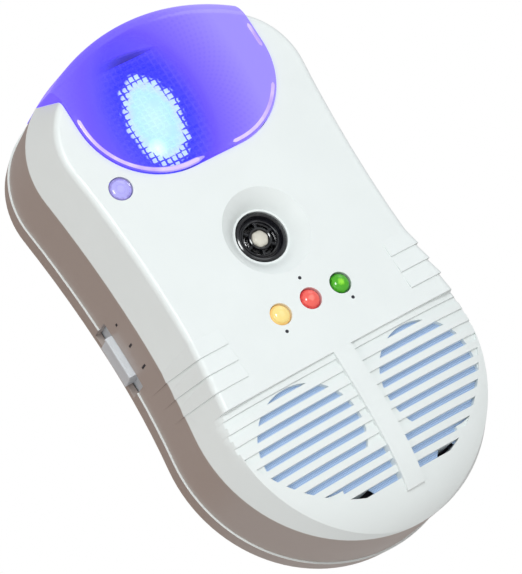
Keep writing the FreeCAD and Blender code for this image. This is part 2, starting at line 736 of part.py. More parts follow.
feature("front_cover", front_cover())
feature("rear_housing", rear_housing())
feature("nightlight_lens", nightlight_lens())
feature("switch_knob", switch_knob())
feature("slide_switch", switch_body())
feature("plug_blade_left", plug_blade(-1))
feature("plug_blade_right", plug_blade(1))
feature("main_board", main_board())
feature("ioniser_needle", ioniser_needle())
feature("grille_screen_left", grille_screen(-1))
feature("grille_screen_right", grille_screen(1))
feature("plug_insulator", plug_insulator())
feature("case_screws", case_screws())
feature("board_screws", board_screws())
feature("nightlight_reflector", nightlight_reflector())
feature("nightlight_leds", nightlight_leds())

# board of the night light, behind its reflector
block("nightlight_board", 30.0, 1.2, 18.0, (0, 14.2, 37.0))

# transducer in the dish
turned("transducer_ring", [(4.3, 0.9), (4.9, 0.2), (5.5, 0.2), (6.0, 0.8), (6.0, 9.0), (4.3, 9.0)],
       (0, "dish_depth - 0.2", 0))
turned("transducer_cone", [(0.0, 1.2), (1.0, 1.3), (1.9, 2.4), (3.9, 3.6), (4.2, 4.4), (0.0, 4.4)],
       (0, "dish_depth - 0.2", 0))
disc("transducer_base", 4.2, 3.4, (0, "dish_depth + 4.3", 0))

# light sensor
turned("sensor_window", [(0.0, -0.25), (1.6, -0.05), (2.65, 0.65), (2.65, 3.0), (0.0, 3.0)],
       ("sensor_x", 0.5, "sensor_z"))
disc("photocell", 2.4, 1.6, ("sensor_x", 3.6, "sensor_z"))

# indicators and their little board
for name, step in (("indicator_led_yellow", -1), ("indicator_led_red", 0), ("indicator_led_green", 1)):
    lamp = [(0.0, -0.9), (1.0, -0.72), (1.8, -0.2), (2.3, 0.6), (2.45, 1.4), (2.45, 5.6), (0.0, 5.6)]
    turned(name, lamp, (f"{step} * indicator_pitch", 0.3, "indicator_z"))
block("indicator_board", 30.0, 1.2, 8.0, (0, 6.2, "indicator_z"))
post = {"Radius": 1.0, "Height": "board_depth - 7.4"}
group("indicator_posts", [("Cylinder", post, (x, 7.4, "indicator_z")) for x in (-12.5, 12.5)])

# sound makers behind the two grilles
for name, side in (("left", -1), ("right", 1)):
    spot = (f"{side} * speaker_x", "speaker_z")
    disc(f"speaker_ring_{name}", 11.6, 1.8, (spot[0], 10.2, spot[1]), hole=9.6)
    disc(f"speaker_{name}", 11.6, 3.6, (spot[0], 12.0, spot[1]))
post = {"Radius": 0.6, "Height": "board_depth - 15.6"}
group("speaker_posts", [("Cylinder", post, (f"{side} * speaker_x + {offset}", 15.6, "speaker_z"))
                        for side in (-1, 1) for offset in (-3, 3)])

# electronics on the main board
block("drive_transformer", 12.0, 9.0, 13.0, (-17.0, "board_depth - 9.0", -7.2))
can = {"Radius": 3.9, "Height": 10.0}
group("electrolytic_capacitors", [("Cylinder", can, (x, "board_depth - 10.0", -4.2)) for x in (12.5, 21.5)])
block("film_capacitor", 13.0, 8.0, 5.5, (17.0, "board_depth - 8.0", -13.6))
block("control_chip", 6.5, 1.8, 12.0, (3.5, "board_depth - 1.8", -8.0))
disc("field_coil", 7.0, 6.0, (-17.5, "board_depth - 6.0", -27.0), hole=3.2)
block("ioniser_module", 16.0, 8.0, 9.0, (0, "board_depth - 8.0", -53.5))
diode = {"Radius": 1.3, "Height": 4.0}
group("rectifier_diodes", [("Cylinder", diode, (x, "board_depth - 4.0", -24.5)) for x in (8, 12, 16, 20)])

# fuse and the plug's terminals behind the board
block("fuse", 5.0, 5.0, 15.0, (12.0, "board_depth + board_thickness", -19.0))
for name, side in (("left", -1), ("right", 1)):
    lug = f"{side} * (blade_spacing / 2 + blade_thickness / 2 + 0.5)"
    block(f"blade_terminal_{name}", 1.0, "body_depth - 5.0 - board_depth - board_thickness", 5.0,
          (lug, "board_depth + board_thickness", 0))

# blank rating plate, let into the back
block("rating_plate", "plate_width - 0.2", "plate_thickness", "plate_height - 0.2",
      (0, "body_depth - plate_thickness", "plate_z"))

doc.recompute()

for item in doc.Objects:
    if "Invalid" in item.State or "Error" in item.State:
        raise RuntimeError(f"{item.Label} failed to compute")
os.makedirs("parts", exist_ok=True)
for piece in parts:
    shape = piece.Shape
    if shape.isNull() or not shape.isValid() or not shape.Solids:
        raise RuntimeError(f"{piece.Label} has no valid solid")
    shape.exportStep(f"parts/{piece.Label}.step")
print(len(parts), "sub-parts written")
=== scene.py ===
"""Looks for the plug-in ultrasonic pest repeller. Metres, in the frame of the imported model.

The front faces -Y, the back lies in the plane y = 0 and the dish is centred on the Y axis.
Small sizes are written in millimetres and multiplied by MM.
"""

import json
import math

import bmesh
import bpy
from mathutils import Matrix, Vector


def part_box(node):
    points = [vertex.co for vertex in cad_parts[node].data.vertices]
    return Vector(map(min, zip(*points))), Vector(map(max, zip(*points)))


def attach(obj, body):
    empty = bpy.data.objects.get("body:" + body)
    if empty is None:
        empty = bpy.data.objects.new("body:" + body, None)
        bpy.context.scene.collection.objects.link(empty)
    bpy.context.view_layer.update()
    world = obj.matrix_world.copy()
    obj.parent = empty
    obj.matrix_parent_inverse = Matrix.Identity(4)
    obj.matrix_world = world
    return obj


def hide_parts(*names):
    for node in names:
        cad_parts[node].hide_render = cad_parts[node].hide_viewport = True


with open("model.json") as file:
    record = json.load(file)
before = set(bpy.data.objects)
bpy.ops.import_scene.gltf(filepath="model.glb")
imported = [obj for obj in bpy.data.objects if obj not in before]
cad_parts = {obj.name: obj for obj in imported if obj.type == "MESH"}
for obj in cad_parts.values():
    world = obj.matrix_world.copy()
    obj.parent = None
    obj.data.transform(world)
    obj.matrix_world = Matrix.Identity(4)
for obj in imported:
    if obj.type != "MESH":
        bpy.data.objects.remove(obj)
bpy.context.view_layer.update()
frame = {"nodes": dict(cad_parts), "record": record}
NODES = frame["nodes"]
SLOT_OF = {part["node"]: part["material_slot"] for part in frame["record"]["subparts"]}
MM = 0.001

# the casing's own sizes that the looks follow
FRONT_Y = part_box("front_cover")[0].y
CROWN_RADIUS = 400 * MM
BELT_Y = FRONT_Y + 13.4 * MM
LEDGE_Y = -9.3 * MM
CAP_HALF_WIDTH = 25.3 * MM
CAP_CORNER = 19.0 * MM
SWITCH_Z = -4.7 * MM


def middle(node):
    """Centre of a CAD node's box."""
    low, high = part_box(node)
    return (low + high) / 2


def crown_y(x, proud=0.0):
    """The depth coordinate of the crowned face at a place across the casing."""
    return FRONT_Y + x * x / (2 * CROWN_RADIUS) - proud


# ---------------------------------------------------------------- camera, light, floor

def camera_axes(azimuth, elevation, roll):
    """Right, up and backward unit vectors of a camera that looks at the object's front."""
    turn, tilt, twist = (math.radians(angle) for angle in (azimuth, elevation, roll))
    back = Vector((math.sin(turn) * math.cos(tilt), -math.cos(turn) * math.cos(tilt), math.sin(tilt)))
    level = Vector((math.cos(turn), math.sin(turn), 0.0))
    upright = back.cross(level)
    right = math.cos(twist) * level + math.sin(twist) * upright
    up = math.cos(twist) * upright - math.sin(twist) * level
    return right, up, back


def add_camera():
    """A long lens below and to the left of the front, turned so that the casing leans."""
    distance = 0.749
    right, up, back = camera_axes(-27.24, -10.57, -32.8)
    place = Vector((0.0, FRONT_Y, 0.0)) + back * distance
    data = bpy.data.cameras.new("camera")
    data.lens = 212.5
    data.sensor_width = 36.0
    data.shift_x = -0.0103
    data.shift_y = -0.0997
    data.clip_end = 50.0
    camera = bpy.data.objects.new("camera", data)
    turn = Matrix((right, up, back)).transposed().to_4x4()
    camera.matrix_world = Matrix.Translation(place) @ turn
    bpy.context.scene.collection.objects.link(camera)
    bpy.context.scene.camera = camera


def add_area_light(name, place, size, power, colour):
    """A soft round light aimed at the middle of the front."""
    data = bpy.data.lights.new(name, "AREA")
    data.shape = "DISK"
    data.size = size
    data.energy = power
    data.color = colour
    light = bpy.data.objects.new(name, data)
    light.location = place
    aim = Vector((0.0, FRONT_Y, 0.0)) - Vector(place)
    light.rotation_euler = aim.to_track_quat("-Z", "Y").to_euler()
    bpy.context.scene.collection.objects.link(light)


def add_world():
    """White behind the object; its light is warm and dim from the left, from below and behind."""
    world = bpy.data.worlds.new("studio")
    world.use_nodes = True
    tree = world.node_tree
    direction = tree.nodes.new("ShaderNodeTexCoord")
    slope = tree.nodes.new("ShaderNodeVectorMath")
    slope.operation = "DOT_PRODUCT"
    slope.inputs[1].default_value = (0.55, -0.62, 0.56)
    tree.links.new(direction.outputs["Generated"], slope.inputs[0])
    brightness = spread(tree, slope.outputs["Value"], 0.0, 1.0, -0.7, 0.8)
    warm, cool = (0.42, 0.27, 0.20), (0.93, 0.97, 1.0)
    lit = tree.nodes["Background"]
    lit.inputs["Strength"].default_value = 0.62
    tree.links.new(ramp(tree, brightness, [(0.0, warm), (1.0, cool)]), lit.inputs["Color"])
    seen = tree.nodes.new("ShaderNodeBackground")
    seen.inputs["Color"].default_value = (1.0, 1.0, 1.0, 1.0)
    seen.inputs["Strength"].default_value = 1.0
    path = tree.nodes.new("ShaderNodeLightPath")
    mix = tree.nodes.new("ShaderNodeMixShader")
    tree.links.new(path.outputs["Is Camera Ray"], mix.inputs["Fac"])
    tree.links.new(lit.outputs["Background"], mix.inputs[1])
    tree.links.new(seen.outputs["Background"], mix.inputs[2])
    tree.links.new(mix.outputs["Shader"], tree.nodes["World Output"].inputs["Surface"])
    bpy.context.scene.world = world


def add_floor():
    """A pale floor well below the object."""
    half = 3.0
    mesh = bpy.data.meshes.new("floor")
    corners = [(-half, -half, 0), (half, -half, 0), (half, half, 0), (-half, half, 0)]
    mesh.from_pydata(corners, [], [(0, 1, 2, 3)])
    floor = bpy.data.objects.new("floor", mesh)
    floor.location = (0.0, 0.0, -0.3)
    bpy.context.scene.collection.objects.link(floor)
    floor.data.materials.append(moulded("floor_pale", (0.86, 0.85, 0.84), 0.7, grain=0.02))


# ---------------------------------------------------------------- material helpers

def new_material(name):
    """A material with its node tree and its main shader."""
    material = bpy.data.materials.new(name)
    material.use_nodes = True
    return material, material.node_tree, material.node_tree.nodes["Principled BSDF"]


def object_coords(tree, centre=(0, 0, 0), scale=(1, 1, 1)):
    """Object coordinates measured from a centre, stretched by scale."""
    place = tree.nodes.new("ShaderNodeTexCoord")
    shift = tree.nodes.new("ShaderNodeVectorMath")
    shift.operation = "SUBTRACT"
    shift.inputs[1].default_value = centre
    tree.links.new(place.outputs["Object"], shift.inputs[0])
    stretch = tree.nodes.new("ShaderNodeVectorMath")
    stretch.operation = "MULTIPLY"
    stretch.inputs[1].default_value = scale
    tree.links.new(shift.outputs["Vector"], stretch.inputs[0])
    return stretch.outputs["Vector"]


def noise(tree, vector, scale, detail=3.0):
    """Cloudy noise between 0 and 1."""
    node = tree.nodes.new("ShaderNodeTexNoise")
    node.inputs["Scale"].default_value = scale
    node.inputs["Detail"].default_value = detail
    tree.links.new(vector, node.inputs["Vector"])
    return node.outputs["Fac"]


def ramp(tree, factor, stops, smooth=False):
    """A colour ramp with stops given as (position, (r, g, b))."""
    node = tree.nodes.new("ShaderNodeValToRGB")
    if smooth:
        node.color_ramp.interpolation = "EASE"
    elements = node.color_ramp.elements
    while len(elements) < len(stops):
        elements.new(0.5)
    for element, (position, colour) in zip(elements, stops):
        element.position = position
        element.color = (*colour, 1.0)
    tree.links.new(factor, node.inputs["Fac"])
    return node.outputs["Color"]


def spread(tree, factor, low, high, start=0.0, end=1.0):
    """Maps a factor from start..end to low..high."""
    node = tree.nodes.new("ShaderNodeMapRange")
    node.inputs["From Min"].default_value = start
    node.inputs["From Max"].default_value = end
    node.inputs["To Min"].default_value = low
    node.inputs["To Max"].default_value = high
    tree.links.new(factor, node.inputs["Value"])
    return node.outputs["Result"]


def maths(tree, operation, *values):
    """A Math node whose inputs are outputs of other nodes or plain numbers."""
    node = tree.nodes.new("ShaderNodeMath")
    node.operation = operation
    for socket, value in zip(node.inputs, values):
        if isinstance(value, (int, float)):
            socket.default_value = value
        else:
            tree.links.new(value, socket)
    return node.outputs["Value"]


def bump(tree, shader, height, strength, distance):
    """Raises the shader's surface by a height pattern, up to distance in metres."""
    node = tree.nodes.new("ShaderNodeBump")
    node.inputs["Strength"].default_value = strength
    node.inputs["Distance"].default_value = distance
    tree.links.new(height, node.inputs["Height"])
    tree.links.new(node.outputs["Normal"], shader.inputs["Normal"])


def shaded(colour, factor):
    """The colour made darker by a factor."""
    return tuple(channel * factor for channel in colour)


def moulded(name, colour, roughness, grain=1.0, mottle=0.04, coat=0.0):
    """Moulded plastic: faint colour mottle, uneven satin and a fine spark-eroded grain."""
    material, tree, shader = new_material(name)
    vector = object_coords(tree)
    broad = noise(tree, vector, 70.0 * grain)
    fine = noise(tree, vector, 2600.0 * grain, 2.0)
    tone = ramp(tree, broad, [(0.3, shaded(colour, 1.0 - mottle)), (0.7, colour)])
    tree.links.new(tone, shader.inputs["Base Color"])
    satin = spread(tree, broad, roughness - 0.05, roughness + 0.07, 0.3, 0.7)
    tree.links.new(satin, shader.inputs["Roughness"])
    shader.inputs["Coat Weight"].default_value = coat
    shader.inputs["Coat Roughness"].default_value = 0.08
    bump(tree, shader, fine, 0.10, 0.00005 / grain)
    return material


def shell_plastic(name):
    """White satin casing plastic, with painted shade: the walls behind the belt are darkened to a warm grey,
    apart from the parting ledge.
    """
    material = moulded(name, (0.86, 0.90, 0.89), 0.34, mottle=0.02)
    tree = material.node_tree
    shader = tree.nodes["Principled BSDF"]
    apart = tree.nodes.new("ShaderNodeSeparateXYZ")
    tree.links.new(object_coords(tree), apart.inputs["Vector"])
    blend = 0.15 * MM
    wall = spread(tree, apart.outputs["Y"], 0.0, 1.0, BELT_Y - blend, BELT_Y + blend)
    back = spread(tree, apart.outputs["Y"], 1.0, 0.0, -1.5 * MM, -0.4 * MM)
    mix = tree.nodes.new("ShaderNodeMix")
    mix.data_type = "RGBA"
    # painted shade: this warm grey darkens the walls behind the belt in place of the shade they lie in; the
    # parting ledge is left white
    mix.inputs["B"].default_value = (0.455, 0.385, 0.35, 1.0)
    ledge = maths(tree, "COMPARE", apart.outputs["Y"], LEDGE_Y, 0.05 * MM)
    off_ledge = maths(tree, "SUBTRACT", 1.0, ledge)
    painted_wall_shade = maths(tree, "MULTIPLY", maths(tree, "MULTIPLY", wall, back), off_ledge)
    tree.links.new(painted_wall_shade, mix.inputs["Factor"])
    white = shader.inputs["Base Color"].links[0].from_socket
    tree.links.new(white, mix.inputs["A"])
    tree.links.new(mix.outputs["Result"], shader.inputs["Base Color"])
    return material


def metal(name, colour, roughness, along):
    """Drawn or ground metal: fine scratches along one axis and slight tarnish."""
    material, tree, shader = new_material(name)
    stretch = [900.0, 900.0, 900.0]
    stretch[along] = 25.0
    scratches = noise(tree, object_coords(tree, scale=stretch), 3.0, 4.0)
    tarnish = noise(tree, object_coords(tree), 220.0)
    tone = ramp(tree, tarnish, [(0.3, shaded(colour, 0.82)), (0.7, colour)])
    tree.links.new(tone, shader.inputs["Base Color"])
    polish = spread(tree, scratches, roughness - 0.08, roughness + 0.15)
    tree.links.new(polish, shader.inputs["Roughness"])
    shader.inputs["Metallic"].default_value = 1.0
    bump(tree, shader, scratches, 0.25, 0.00004)
    return material


def board(name):
    """Solder mask over copper tracks, with pale pads."""
    material, tree, shader = new_material(name)
    cells = tree.nodes.new("ShaderNodeTexVoronoi")
    cells.distance = "CHEBYCHEV"
    cells.inputs["Scale"].default_value = 420.0
    tree.links.new(object_coords(tree), cells.inputs["Vector"])
    stops = [(0.0, (0.75, 0.72, 0.6)), (0.12, (0.08, 0.34, 0.17)), (0.45, (0.04, 0.22, 0.11))]
    tree.links.new(ramp(tree, cells.outputs["Distance"], stops), shader.inputs["Base Color"])
    shader.inputs["Roughness"].default_value = 0.3
    bump(tree, shader, cells.outputs["Distance"], 0.2, 0.0001)
    return material


def woven(name, light, dark):
    """A fine plain weave seen from the front, with painted light: it glows faintly so that it reads behind
    the slots.
    """
    material, tree, shader = new_material(name)
    threads = []
    for direction in ("X", "Z"):
        wave = tree.nodes.new("ShaderNodeTexWave")
        wave.bands_direction = direction
        wave.inputs["Scale"].default_value = 800.0
        tree.links.new(object_coords(tree), wave.inputs["Vector"])
        threads.append(wave.outputs["Fac"])
    weave = maths(tree, "MULTIPLY", *threads)
    tone = ramp(tree, weave, [(0.05, dark), (0.6, light)])
    tree.links.new(tone, shader.inputs["Base Color"])
    # painted light: the weave glows faintly, though it is no lamp
    tree.links.new(tone, shader.inputs["Emission Color"])
    shader.inputs["Roughness"].default_value = 0.8
    shader.inputs["Sheen Weight"].default_value = 0.3
    shader.inputs["Emission Strength"].default_value = 0.25
    bump(tree, shader, weave, 0.5, 0.0002)
    return material


def wound(name, colour, direction, pitch):
    """Something wound in turns, such as wire or tape: pitch is the width of a turn in metres."""
    material, tree, shader = new_material(name)
    wave = tree.nodes.new("ShaderNodeTexWave")
    wave.bands_direction = direction
    wave.inputs["Scale"].default_value = 0.31 / pitch
    wave.inputs["Distortion"].default_value = 0.4
    tree.links.new(object_coords(tree), wave.inputs["Vector"])
    turns = wave.outputs["Fac"]
    tone = ramp(tree, turns, [(0.0, shaded(colour, 0.45)), (0.5, colour)])
    tree.links.new(tone, shader.inputs["Base Color"])
    tree.links.new(spread(tree, turns, 0.5, 0.28), shader.inputs["Roughness"])
    bump(tree, shader, turns, 0.6, 0.0002)
    return material


def radial(tree, centre):
    """Distance in metres from an axis that runs front to back through centre."""
    flat = object_coords(tree, centre, (1, 0, 1))
    length = tree.nodes.new("ShaderNodeVectorMath")
    length.operation = "LENGTH"
    tree.links.new(flat, length.inputs[0])
    return length.outputs["Value"]


def lamp_lens(name, centre, radius, core, body, rim, glow):
    """A lit indicator: bright mottled core, saturated body and a darker rim."""
    material, tree, shader = new_material(name)
    reach = radial(tree, centre)
    grains = noise(tree, object_coords(tree), 1500.0, 2.0)
    wander = maths(tree, "MULTIPLY", maths(tree, "SUBTRACT", grains, 0.5), 0.9 * MM)
    share = maths(tree, "DIVIDE", maths(tree, "ADD", reach, wander), radius)
    tone = ramp(tree, share, [(0.12, core), (0.42, body), (0.78, body), (0.97, rim)], True)
    tree.links.new(tone, shader.inputs["Base Color"])
    tree.links.new(tone, shader.inputs["Emission Color"])
    shader.inputs["Emission Strength"].default_value = glow
    shader.inputs["Roughness"].default_value = 0.18
    shader.inputs["Coat Weight"].default_value = 0.4
    bump(tree, shader, grains, 0.15, 0.0001)
    return material


# ---------------------------------------------------------------- night light

# the patch of light on the reflector: its middle, half sizes, lean and brightest spot
GLOW_SPOT = (-1.9 * MM, 0.0, 37.3 * MM)
GLOW_WIDTH = 7.0 * MM
GLOW_HEIGHT = 11.6 * MM
GLOW_TILT = math.radians(-8.0)
GLOW_CORE = (-5.1 * MM, 0.0, 31.1 * MM)
# the middle of the cap's painted glow, deepest blue round the lamps, and the width of one facet of the
# reflector
LENS_GLOW_SPOT = (-7.2 * MM, 0.0, 35.2 * MM)
CELL = 1.5 * MM


def glow_distance(tree, spot=GLOW_SPOT):
    """1 on the edge of a patch of light round spot, less inside it, and more outside."""
    turned = tree.nodes.new("ShaderNodeVectorRotate")
    turned.rotation_type = "Y_AXIS"
    turned.inputs["Angle"].default_value = GLOW_TILT
    tree.links.new(object_coords(tree, spot, (1, 0, 1)), turned.inputs["Vector"])
    scaled = tree.nodes.new("ShaderNodeVectorMath")
    scaled.operation = "MULTIPLY"
    scaled.inputs[1].default_value = (1 / GLOW_WIDTH, 0.0, 1 / GLOW_HEIGHT)
    tree.links.new(turned.outputs["Vector"], scaled.inputs[0])
    length = tree.nodes.new("ShaderNodeVectorMath")
    length.operation = "LENGTH"
    tree.links.new(scaled.outputs["Vector"], length.inputs[0])
    return length.outputs["Value"]


def night_glow(name):
    """The faceted reflector and its lamps, with painted light: white-cyan cells glowing in a patch, deep blue
    around it.
    """
    material, tree, shader = new_material(name)
    cells = tree.nodes.new("ShaderNodeTexVoronoi")
    cells.distance = "CHEBYCHEV"
    cells.inputs["Scale"].default_value = 1 / CELL
    cells.inputs["Randomness"].default_value = 0.12
    tree.links.new(object_coords(tree, scale=(1, 0, 1)), cells.inputs["Vector"])
    single = tree.nodes.new("ShaderNodeSeparateColor")
    tree.links.new(cells.outputs["Color"], single.inputs["Color"])
    smooth_distance = glow_distance(tree)
    chance = maths(tree, "MULTIPLY", maths(tree, "SUBTRACT", single.outputs["Red"], 0.5), 0.16)
    # dark joints between the cells show only near the edge of the patch
    joint = spread(tree, cells.outputs["Distance"], 0.0, 1.0, 0.34, 0.46)
    near_edge = spread(tree, smooth_distance, 0.0, 0.34, 0.66, 0.92)
    ragged = maths(tree, "ADD", chance, maths(tree, "MULTIPLY", joint, near_edge))
    distance = maths(tree, "ADD", smooth_distance, ragged)
    stops = [(0.0, (0.62, 0.97, 1.0)), (0.30, (0.50, 0.90, 1.0)), (0.50, (0.64, 0.80, 1.0)),
             (0.53, (0.02, 0.03, 0.78)), (0.75, (0.05, 0.05, 0.98)), (1.0, (0.16, 0.12, 0.9))]
    tone = ramp(tree, maths(tree, "MULTIPLY", distance, 0.5), stops)
    # painted light: the reflector glows though it is no lamp, a pool of the lamps' light painted on its
    # cells; the lamp chips sharing it are lamps
    tree.links.new(tone, shader.inputs["Emission Color"])
    lit = spread(tree, distance, 1.12, 0.8, 0.9, 1.1)
    core = spread(tree, radial(tree, GLOW_CORE), 0.9, 0.0, 0.0, 2.6 * MM)
    tree.links.new(maths(tree, "ADD", lit, core), shader.inputs["Emission Strength"])
    shader.inputs["Base Color"].default_value = (0.08, 0.08, 0.35, 1.0)
    shader.inputs["Roughness"].default_value = 0.5
    return material


def lens_tint_and_glow(name):
    """The cap, with painted light: a violet glow, clear and deepest blue round the lamps, with faint radial
    rows of dots.
    """
    material, tree, shader = new_material(name)
    distance = glow_distance(tree, LENS_GLOW_SPOT)
    apart = tree.nodes.new("ShaderNodeSeparateXYZ")
    tree.links.new(object_coords(tree, LENS_GLOW_SPOT), apart.inputs["Vector"])
    sideways = maths(tree, "MULTIPLY", apart.outputs["X"], 6.0)
    reach = maths(tree, "ADD", maths(tree, "DIVIDE", distance, 4.2), sideways)
    stops = [(0.0, (0.012, 0.02, 0.95)), (0.30, (0.02, 0.02, 1.0)), (0.45, (0.085, 0.03, 1.0)),
             (0.70, (0.19, 0.12, 1.0)), (1.0, (0.30, 0.24, 1.0))]
    tone = ramp(tree, reach, stops)
    angle = maths(tree, "ARCTAN2", apart.outputs["Z"], apart.outputs["X"])
    rays, ring_pitch = 84.0, 1.9 * MM
    flutes = maths(tree, "SINE", maths(tree, "MULTIPLY", angle, rays))
    turns = maths(tree, "MULTIPLY", radial(tree, LENS_GLOW_SPOT), 2 * math.pi / ring_pitch)
    rings = maths(tree, "SINE", turns)
    dots = maths(tree, "MAXIMUM", maths(tree, "MULTIPLY", flutes, rings), 0.0)
    growing = spread(tree, distance, 0.0, 0.32, 1.2, 2.2)
    fading = spread(tree, distance, 1.0, 0.0, 2.2, 3.6)
    depth = maths(tree, "MULTIPLY", maths(tree, "MULTIPLY", dots, growing), fading)
    mix = tree.nodes.new("ShaderNodeMix")
    mix.data_type = "RGBA"
    mix.inputs["B"].default_value = (0.06, 0.03, 0.62, 1.0)
    tree.links.new(depth, mix.inputs["Factor"])
    tree.links.new(tone, mix.inputs["A"])
    # painted light: the cap's blue and violet are an emitted glow, deepest round the lamps, in place of their
    # light shining through; the base colour is its own violet tint
    tree.links.new(mix.outputs["Result"], shader.inputs["Emission Color"])
    shader.inputs["Emission Strength"].default_value = 0.86
    shader.inputs["Base Color"].default_value = (0.10, 0.08, 0.42, 1.0)
    tree.links.new(spread(tree, distance, 0.10, 0.88, 1.15, 1.9), shader.inputs["Alpha"])
    shader.inputs["Roughness"].default_value = 0.12
    shader.inputs["IOR"].default_value = 1.5
    bump(tree, shader, dots, 0.10, 0.0001)
    return material


def bead_light(name):
    """The cap's bright moulded edge, which pipes the light out."""
    material, tree, shader = new_material(name)
    along = noise(tree, object_coords(tree), 160.0)
    tone = ramp(tree, along, [(0.35, (0.36, 0.25, 0.90)), (0.6, (0.52, 0.42, 0.95))])
    tree.links.new(tone, shader.inputs["Base Color"])
    # painted light: the bead glows by emission in place of the light piped out of the cap's edge and its
    # highlight
    tree.links.new(tone, shader.inputs["Emission Color"])
    shader.inputs["Emission Strength"].default_value = 0.55
    shader.inputs["Roughness"].default_value = 0.2
    return material


# ---------------------------------------------------------------- mesh helpers

def finish_mesh(name, mesh_data, material, sharp_degrees=34.0):
    """Turns a bmesh into a smooth-shaded object with its sharp edges marked."""
    bmesh.ops.remove_doubles(mesh_data, verts=mesh_data.verts, dist=1e-7)
    bmesh.ops.recalc_face_normals(mesh_data, faces=mesh_data.faces)
    for face in mesh_data.faces:
        face.smooth = True
    limit = math.radians(sharp_degrees)
    for edge in mesh_data.edges:
        edge.smooth = len(edge.link_faces) == 2 and edge.calc_face_angle(0.0) < limit
    mesh = bpy.data.meshes.new(name)
    mesh_data.to_mesh(mesh)
    mesh_data.free()
    mesh.materials.append(material)
    piece = bpy.data.objects.new(name, mesh)
    bpy.context.scene.collection.objects.link(piece)
    return piece


def lathe(mesh_data, centre, profile, segments=72, ripple=0.0, waves=0):
    """Turns a profile of (radius, depth) in millimetres about a front-to-back axis."""
    rings = []
    for radius, depth in profile:
        ring = []
        for step in range(segments if radius > 0 else 1):
            angle = 2 * math.pi * step / segments
            swell = 1.0 + ripple * math.cos(waves * angle)
            x = centre.x + radius * swell * MM * math.cos(angle)
            z = centre.z + radius * swell * MM * math.sin(angle)
            ring.append(mesh_data.verts.new((x, centre.y + depth * MM, z)))
        rings.append(ring)
    for one, two in zip(rings, rings[1:]):
        for step in range(segments):
            after = (step + 1) % segments
            if len(one) == 1:
                mesh_data.faces.new((one[0], two[step], two[after]))
            elif len(two) == 1:
                mesh_data.faces.new((one[step], two[0], one[after]))
            else:
                mesh_data.faces.new((one[step], two[step], two[after], one[after]))


def arc_profile(radius, depth, rise, steps=10):
    """A shallow dome from its edge (radius, depth) to its crown, rise millimetres further forward."""
    points = []
    for step in range(steps + 1):
        angle = 0.5 * math.pi * step / steps
        points.append((radius * math.cos(angle), depth - rise * math.sin(angle)))
    points[-1] = (0.0, depth - rise)
    return points


def bar(mesh_data, place, size, turn=0.0):
    """A small bevelled bar: size and place are in metres, turn is about the Y axis."""
    made = bmesh.ops.create_cube(mesh_data, size=1.0)["verts"]
    matrix = Matrix.Translation(place) @ Matrix.Rotation(turn, 4, "Y")
    bmesh.ops.transform(mesh_data, matrix=matrix @ Matrix.Diagonal((*size, 1.0)), verts=made)
    edges = list({edge for vert in made for edge in vert.link_edges})
    bmesh.ops.bevel(mesh_data, geom=edges, offset=min(size) * 0.22, segments=2, affect="EDGES")


def tube(mesh_data, points, radius, broad, sides=12):
    """A bead along points, broad times as wide as it is high, with closed tapered ends."""
    rings = []
    last = len(points) - 1
    for index, point in enumerate(points):
        ahead = points[min(index + 1, last)] - points[max(index - 1, 0)]
        ahead.normalize()
        side = ahead.cross(Vector((0, 1, 0))).normalized()
        front = side.cross(ahead)
        taper = min(1.0, 0.3 + 0.35 * min(index, last - index))
        ring = []
        for step in range(sides):
            angle = 2 * math.pi * step / sides
            offset = side * broad * math.cos(angle) + front * math.sin(angle)
            ring.append(mesh_data.verts.new(point + offset * radius * taper))
        rings.append(ring)
    for one, two in zip(rings, rings[1:]):
        for step in range(sides):
            after = (step + 1) % sides
            mesh_data.faces.new((one[step], two[step], two[after], one[after]))
    mesh_data.faces.new(rings[0])
    mesh_data.faces.new(reversed(rings[-1]))


def settle(piece, body, slot, *nodes):
    """Puts a finished piece on its body and hides the CAD nodes that it stands for; slot is not used."""
    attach(piece, body)
    if nodes:
        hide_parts(*nodes)


# ---------------------------------------------------------------- pieces

def ring_centre():
    """The middle of the transducer ring's front."""
    centre = middle("transducer_ring")
    centre.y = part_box("transducer_ring")[0].y
    return centre


def transducer_ring():
    """Stepped black ring with a hub carried on six short spokes."""
    centre = ring_centre()
    mesh_data = bmesh.new()
    outer = [(6.0, 8.4), (6.0, 0.9), (5.93, 0.5), (5.75, 0.2), (5.45, 0.08), (5.15, 0.16), (4.98, 0.45)]
    outer += [(4.9, 0.95), (4.72, 1.15), (4.5, 1.1), (4.38, 0.92), (4.15, 0.86), (3.98, 1.0), (3.9, 1.35)]
    outer += [(3.86, 2.6), (3.86, 8.4)]
    lathe(mesh_data, centre, outer)
    hub = [(2.05, 2.9), (2.05, 1.15), (2.15, 0.92), (2.38, 0.82), (2.62, 0.92), (2.72, 1.2), (2.72, 2.9)]
    lathe(mesh_data, centre, hub)
    spokes = 6
    spoke_size = (1.5 * MM, 1.0 * MM, 0.62 * MM)
    reach = 3.3 * MM
    for index in range(spokes):
        angle = 2 * math.pi * (index + 0.25) / spokes
        place = centre + Vector((reach * math.cos(angle), 1.75 * MM, reach * math.sin(angle)))
        bar(mesh_data, place, spoke_size, -angle)
    material = moulded("ring_black", (0.005, 0.005, 0.008), 0.2, coat=0.5)
    piece = finish_mesh("transducer_ring_turned", mesh_data, material)
    settle(piece, "casing", "ring_black", "transducer_ring")


